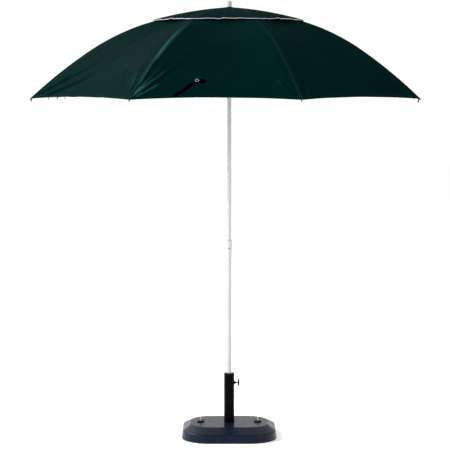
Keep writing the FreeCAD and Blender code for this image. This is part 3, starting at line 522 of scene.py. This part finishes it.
looks = dict(
    cloth=clothMaterial("canopyWeave", clothLook["dark"], clothLook["light"]),
    webbing=clothMaterial("webbingWeave", (0.0016, 0.006, 0.0055), (0.003, 0.011, 0.010)),
    piping=hardMaterial(
        "pipingSilver", (0.74, 0.76, 0.77), (0.90, 0.92, 0.93), (0.35, 0.5), 30.0, 700.0, 0.0001,
    ),
    pole=hardMaterial(
        "poleEnamel", (0.63, 0.635, 0.655), (0.70, 0.705, 0.725), (0.28, 0.40), 4.0, 600.0, 0.00003, 0.0,
        0.1, None, 0.4,
    ),
    plasticWhite=hardMaterial(
        "plasticWhite", (0.66, 0.67, 0.68), (0.76, 0.765, 0.77), (0.38, 0.5), 20.0, 900.0,
    ),
    plasticGrey=hardMaterial("plasticGrey", (0.16, 0.165, 0.17), (0.24, 0.245, 0.25), (0.35, 0.5), 30.0),
    plasticBlack=hardMaterial(
        "plasticBlack", (0.003, 0.003, 0.004), (0.007, 0.007, 0.0085), (0.38, 0.55), 25.0, 900.0, 0.00006,
        0.0, 0.0, None, 0.12,
    ),
    base=hardMaterial(
        "basePlastic", (0.0050, 0.0112, 0.0265), (0.0088, 0.0172, 0.038), (0.20, 0.32), 5.0, 420.0,
        0.00010, 0.0, 0.0, (0.03, 0.036, 0.050), 0.15,
    ),
    capPlastic=hardMaterial(
        "capPlastic", (0.004, 0.0045, 0.006), (0.009, 0.01, 0.012), (0.3, 0.45), 30.0, 600.0, 0.00008,
        0.0, 0.0, (0.03, 0.03, 0.034), 0.2,
    ),
    tube=hardMaterial(
        "tubeEnamel", (0.0012, 0.001, 0.0018), (0.0024, 0.0021, 0.0032), (0.22, 0.34), 10.0, 500.0,
        0.00002, 0.0, 0.0, None, 0.035,
    ),
    darkSteel=hardMaterial(
        "darkSteel", (0.02, 0.02, 0.023), (0.045, 0.045, 0.05), (0.3, 0.45), 60.0, 800.0, 0.00003, 0.6,
        0.0, None, 0.3,
    ),
    ringGrey=hardMaterial(
        "ringGrey", (0.30, 0.33, 0.33), (0.42, 0.45, 0.45), (0.3, 0.45), 60.0, 800.0, 0.00003, 0.3,
    ),
    zinc=hardMaterial(
        "zincPlate", (0.42, 0.43, 0.45), (0.58, 0.59, 0.60), (0.25, 0.42), 60.0, 800.0, 0.00003, 1.0,
    ),
    ribSteel=hardMaterial("ribCoat", (0.60, 0.61, 0.62), (0.72, 0.73, 0.74), (0.3, 0.45), 20.0, 700.0),
    rubber=hardMaterial("sealRubber", (0.010, 0.010, 0.010), (0.02, 0.02, 0.02), (0.6, 0.75), 40.0),
    sand=hardMaterial("wetSand", (0.20, 0.16, 0.11), (0.36, 0.30, 0.22), (0.7, 0.9), 40.0, 300.0, 0.0006),
    finial=hardMaterial(
        "finialPlastic", (0.70, 0.71, 0.72), (0.80, 0.81, 0.82), (0.22, 0.34), 30.0, 900.0, 0.00002,
    ),
)
# the caps' finger grips, above their discs, are painted light grey: a painted highlight on the grip ridge
capTree = looks["capPlastic"].node_tree
capShader = capTree.nodes["Principled BSDF"]
capPlace = addNode(
    capTree, "ShaderNodeSeparateXYZ",
    {"Vector": addNode(capTree, "ShaderNodeTexCoord").outputs["Object"]},
)
gripHighlight = mathNode(capTree, "GREATER_THAN", capPlace.outputs["Z"], 0.0786)
capTone = capShader.inputs["Base Color"].links[0].from_socket
capGripHighlight = addNode(
    capTree, "ShaderNodeMix", {"Factor": gripHighlight, 6: capTone, 7: (0.60, 0.61, 0.62, 1)}, data_type="RGBA",
)
capTree.links.new(capGripHighlight.outputs[2], capShader.inputs["Base Color"])
finialShader = looks["finial"].node_tree.nodes["Principled BSDF"]
finialShader.inputs["Subsurface Weight"].default_value = 0.3
finialShader.inputs["Subsurface Radius"].default_value = (0.01, 0.01, 0.01)


def dress(piece, look):
    piece.data.materials.clear()
    piece.data.materials.append(looks[look])


nodeLooks = dict(
    base_shell="base", ballast="sand", base_tube="tube", tube_sleeve="plasticBlack", clamp_nut="tube",
    clamp_pad="plasticBlack", clamp_screw="darkSteel", clamp_handle="plasticBlack", cap_seal_left="rubber",
    cap_seal_right="rubber", filler_cap_left="capPlastic", filler_cap_right="capPlastic", lower_pole="pole",
    upper_pole="pole", height_collar="plasticWhite", collar_button="plasticGrey", top_hub="plasticWhite",
    hub_pins="zinc", crown_washer="plasticBlack", finial="finial", runner="plasticWhite",
    runner_button="plasticGrey", runner_pins="zinc",
)
for name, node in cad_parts.items():
    look = nodeLooks.get(name)
    if name.startswith(("rib_tip",)):
        look = "plasticBlack"
    elif name.startswith(("rib_", "stretcher_")):
        look = "ribSteel"
    elif look is None:
        look = "cloth"
    dress(node, look)
print("frame dressed")


def acrossSteps(count):
    # across values from -1 to 1, closer together beside the rib
    half = np.linspace(0, 1, count) ** 1.5
    return np.concatenate([-half[:0:-1], half])


def attach(piece, k):
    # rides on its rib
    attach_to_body(piece, "rib_%d" % k)
    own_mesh(piece)
    return piece


mainGrid = dict(rows=110, columns=34)


def mainSector(k):
    across = acrossSteps(mainGrid["columns"])[None, :]
    w = np.where(across >= 0, across / 2, 1 + across / 2)
    out = np.linspace(0, 1, mainGrid["rows"])[:, None]
    out = 1 - (1 - out) ** 1.15
    radius = curve["hole"] + out * (hemRadius(w) - curve["hole"])
    across = np.broadcast_to(across, radius.shape)
    points = sectorPoints(clothPoint, k, radius, across)
    normals = sectorNormals(clothPoint, k, radius, across)
    uv = np.stack([across * radius * sinHalf, 1.12 * (hemRadius(w) - radius)], -1)
    piece = shellPiece("canopyCloth_%d" % k, points, normals, curve["thick"], uv)
    # fold heights stored for the painted fold highlight and painted shade
    paintedLightHeights = sectorPoints(foldPaintedLight, k, radius, across)[..., 0].ravel()
    piece.data.attributes.new("foldLightShade", "FLOAT", "POINT").data.foreach_set("value", np.tile(paintedLightHeights, 2))
    dress(piece, "cloth")
    attach(piece, k)
    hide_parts("canopy_panel_%d" % k)
    return piece


def flapSector(k):
    across = acrossSteps(26)[None, :]
    radius = np.linspace(flap["inner"], flap["edge"], 54)[:, None]
    radius, across = np.broadcast_arrays(radius, across)
    points = sectorPoints(flapPoint, k, radius, across)
    normals = sectorNormals(flapPoint, k, radius, across)
    uv = np.stack([across * radius * sinHalf, flap["edge"] - radius], -1)
    piece = shellPiece("ventFlap_%d" % k, points, normals, curve["thick"], uv)
    dress(piece, "cloth")
    attach(piece, k)
    return piece


def flapPiping(k):
    across = np.linspace(-1, 1, 49)
    radius = np.full(across.shape, flap["edge"] + 0.0012)
    path = sectorPoints(flapPoint, k, radius, across)
    path[:, 2] -= 0.0006
    piece = tubePiece("ventPiping_%d" % k, path, flap["piping"])
    dress(piece, "piping")
    attach(piece, k)
    return piece


def goreSurface(g, out, side):
    # the cloth's outer face at a point of a gore's plan: out along its middle, side toward its second rib
    out, side = np.broadcast_arrays(np.asarray(out, float), np.asarray(side, float))
    radius = out / cosHalf
    w = (side / (radius * sinHalf) + 1) / 2
    return clothPoint(g, radius, w)


def goreNormal(g, out, side):
    step = 0.002
    dx = goreSurface(g, out + step, side) - goreSurface(g, out - step, side)
    dy = goreSurface(g, out, side + step) - goreSurface(g, out, side - step)
    n = np.cross(dx, dy)
    return n / np.linalg.norm(n, axis=-1, keepdims=True)


strap = dict(
    path=((0.958, -0.196), (0.915, -0.140), (0.878, -0.094), (0.874, -0.052)), width=0.018, thick=0.0012,
)
strap["ring"] = (0.881, -0.093, 0.008, 0.0015)


def closingStrap():
    # a rumpled band lying on the front gore from the hem up to its ring, its loose end turned aside
    t = np.linspace(0, 1, 90)[:, None]
    across = np.linspace(-1, 1, 15)[None, :]
    a, b, c, d = [np.array(spot) for spot in strap["path"]]
    middle = a * (1 - t) ** 3 + 3 * b * t * (1 - t) ** 2 + 3 * c * t**2 * (1 - t) + d * t**3
    way = np.gradient(middle, axis=0)
    way /= np.linalg.norm(way, axis=1, keepdims=True)
    half = 0.5 * strap["width"] * (0.86 + 0.45 * np.exp(-(((t - 0.86) / 0.11) ** 2)) + 0.08 * np.sin(17 * t))
    bend = 0.003 * np.sin(2.6 * math.pi * t)
    out = middle[:, :1] + way[:, 1:] * (across * half + bend)
    side = middle[:, 1:] - way[:, :1] * (across * half + bend)
    lift = 0.0022 + 0.0030 * (1 - across**2) ** 0.6 * (0.6 + 0.4 * np.sin(11 * t + 1.5 * across))
    lift = lift + 0.0012 * np.sin(29 * t + 3 * across)
    points = goreSurface(1, out, side) + goreNormal(1, out, side) * lift[..., None]
    normals = np.cross(np.gradient(points, axis=1), np.gradient(points, axis=0))
    normals /= np.linalg.norm(normals, axis=-1, keepdims=True)
    if normals[..., 2].mean() < 0:
        points, normals = points[:, ::-1], -normals[:, ::-1]
    uv = np.stack(np.broadcast_arrays(across * half, t * 0.18), -1)
    piece = shellPiece("closingStrap", points, normals, strap["thick"], uv)
    dress(piece, "webbing")
    attach(piece, 1)
    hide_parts("closing_strap")
    return piece


def ringPiece(name, middle, normal, radius, wire, look):
    # a round ring in the plane square to normal
    normal = np.array(normal, float) / np.linalg.norm(normal)
    first = np.cross(normal, (0.3, 0.9, 0.1))
    first /= np.linalg.norm(first)
    second = np.cross(normal, first)
    turn = np.linspace(0, 2 * math.pi, 40, endpoint=False)[:, None]
    path = np.array(middle) + radius * (np.cos(turn) * first + np.sin(turn) * second)
    piece = tubePiece(name, path, wire, 10, normal, True)
    dress(piece, look)
    return piece


def strapRing():
    out, side, radius, wire = strap["ring"]
    normal = goreNormal(1, out, side)
    middle = goreSurface(1, out, side) + normal * 0.0078
    piece = ringPiece("strapRing", middle, normal, radius, wire, "ringGrey")
    attach(piece, 1)
    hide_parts("strap_ring")
    return piece


def hemTab(name, g, w, length, width):
    # a small webbing tab hanging from the hem
    k = g if w < 0.5 else g % curve["ribs"] + 1
    radius = float(hemRadius(w)) - 0.004
    top = clothPoint(g, radius, w)
    angle = goreAngle(g)
    tangent = np.array([-math.sin(angle), math.cos(angle), 0.0])
    outward = np.array([math.cos(angle), math.sin(angle), 0.0])
    t = np.linspace(0, 1, 24)[:, None]
    across = np.linspace(-1, 1, 5)[None, :]
    sway = 0.0018 * np.sin(2.2 * t)
    place = (
        top
        + across[..., None] * tangent * width / 2
        - np.array([0, 0, 1]) * (0.0016 + t[..., None] * length)
        + outward * sway[..., None]
    )
    place = np.broadcast_to(place, (24, 5, 3))
    normals = np.broadcast_to(outward, place.shape)
    uv = np.stack(np.broadcast_arrays(across * width / 2, t * length), -1)
    piece = shellPiece(name, place, normals, 0.0014, uv)
    dress(piece, "webbing")
    attach(piece, k)
    return piece


def hemRing():
    g, w = 8, 0.345
    radius = float(hemRadius(w)) - 0.003
    angle = goreAngle(g)
    middle = clothPoint(g, radius, w) - np.array([0, 0, 0.0075])
    piece = ringPiece("hemRing", middle, (math.cos(angle), math.sin(angle), 0), 0.0055, 0.0007, "webbing")
    attach(piece, 8)
    return piece


ribNumbers = range(1, curve["ribs"] + 1)
for makePiece in (mainSector, flapSector, flapPiping):
    for k in ribNumbers:
        makePiece(k)
band, bandRing = closingStrap(), strapRing()
tabs = {8: [
    hemTab("tipTab_8", 8, 0.008, 0.019, 0.005), hemTab("hemTab_8", 8, 0.18, 0.014, 0.004), hemRing(),
]}
tabs[3] = [hemTab("tipTab_3", 2, 0.988, 0.022, 0.007)]
print("canopy made")


def softLight(name, place, aim, size, power):
    light = bpy.data.lights.new(name, "AREA")
    light.shape = "DISK"
    light.size = size
    light.energy = power
    lamp = bpy.data.objects.new(name, light)
    bpy.context.scene.collection.objects.link(lamp)
    lamp.location = place
    lamp.rotation_euler = (Vector(aim) - Vector(place)).to_track_quat("-Z", "Y").to_euler()


world = bpy.data.worlds.new("studio")
bpy.context.scene.world = world
world.use_nodes = True
# a white backdrop all round behind the part, dimmer overhead and on the camera's side
sky = world.node_tree
toward = addNode(
    sky, "ShaderNodeSeparateXYZ", {"Vector": addNode(sky, "ShaderNodeTexCoord").outputs["Generated"]},
)
front = addNode(
    sky, "ShaderNodeMapRange", {"Value": toward.outputs["Y"], "From Min": -0.75, "From Max": 0.25},
)
over = addNode(
    sky, "ShaderNodeMapRange", {"Value": toward.outputs["Z"], "From Min": 0.07, "From Max": 0.30},
)
left = addNode(
    sky, "ShaderNodeMapRange", {"Value": toward.outputs["X"], "From Min": -0.11, "From Max": -0.30},
)
frontTone = mathNode(sky, "ADD", mathNode(sky, "MULTIPLY", front.outputs[0], 0.62), 0.42)
overTone = mathNode(sky, "SUBTRACT", 1.0, mathNode(sky, "MULTIPLY", over.outputs[0], 0.50))
leftTone = mathNode(sky, "ADD", 1.0, mathNode(sky, "MULTIPLY", left.outputs[0], 0.55))
tone = mathNode(sky, "MULTIPLY", mathNode(sky, "MULTIPLY", frontTone, overTone), leftTone)
sky.links.new(tone, sky.nodes["Background"].inputs["Strength"])
sky.nodes["Background"].inputs["Color"].default_value = (1, 1, 1, 1)
floorMesh = bpy.data.meshes.new("floor")
floorMesh.from_pydata([(-30, -30, 0), (30, -30, 0), (30, 30, 0), (-30, 30, 0)], [], [(0, 1, 2, 3)])
floor = bpy.data.objects.new("floor", floorMesh)
bpy.context.scene.collection.objects.link(floor)
floorLook, floorTree, floorShader = newMaterial("floorPale")
floorShader.inputs["Base Color"].default_value = (0.965, 0.965, 0.965, 1)
floorShader.inputs["Roughness"].default_value = 0.9
floorShader.inputs["Specular IOR Level"].default_value = 0.0
floorShader.inputs["Emission Color"].default_value = (1, 1, 1, 1)
floorShader.inputs["Emission Strength"].default_value = 0.50
floorMesh.materials.append(floorLook)
softLight("keyLeft", (-7.0, -2.2, 4.6), (0, 0, 1.7), 3.0, 400)
softLight("backLeft", (-4.8, 5.6, 7.4), (0, 0, 1.9), 3.0, 260)
softLight("fillRight", (5.5, -5.0, 3.6), (0, 0, 1.5), 3.0, 90)

bpy.context.scene.view_settings.view_transform = "Standard"
lens = bpy.data.cameras.new("view")
lens.sensor_width = 36
lens.lens = 36 * 1719.2 / 450
lens.clip_end = 100
camera = bpy.data.objects.new("view", lens)
bpy.context.scene.collection.objects.link(camera)
camera.location = (-0.022, -9.0, 1.861)
camera.rotation_euler = (math.radians(90 - 4.73), 0, 0)
bpy.context.scene.camera = camera
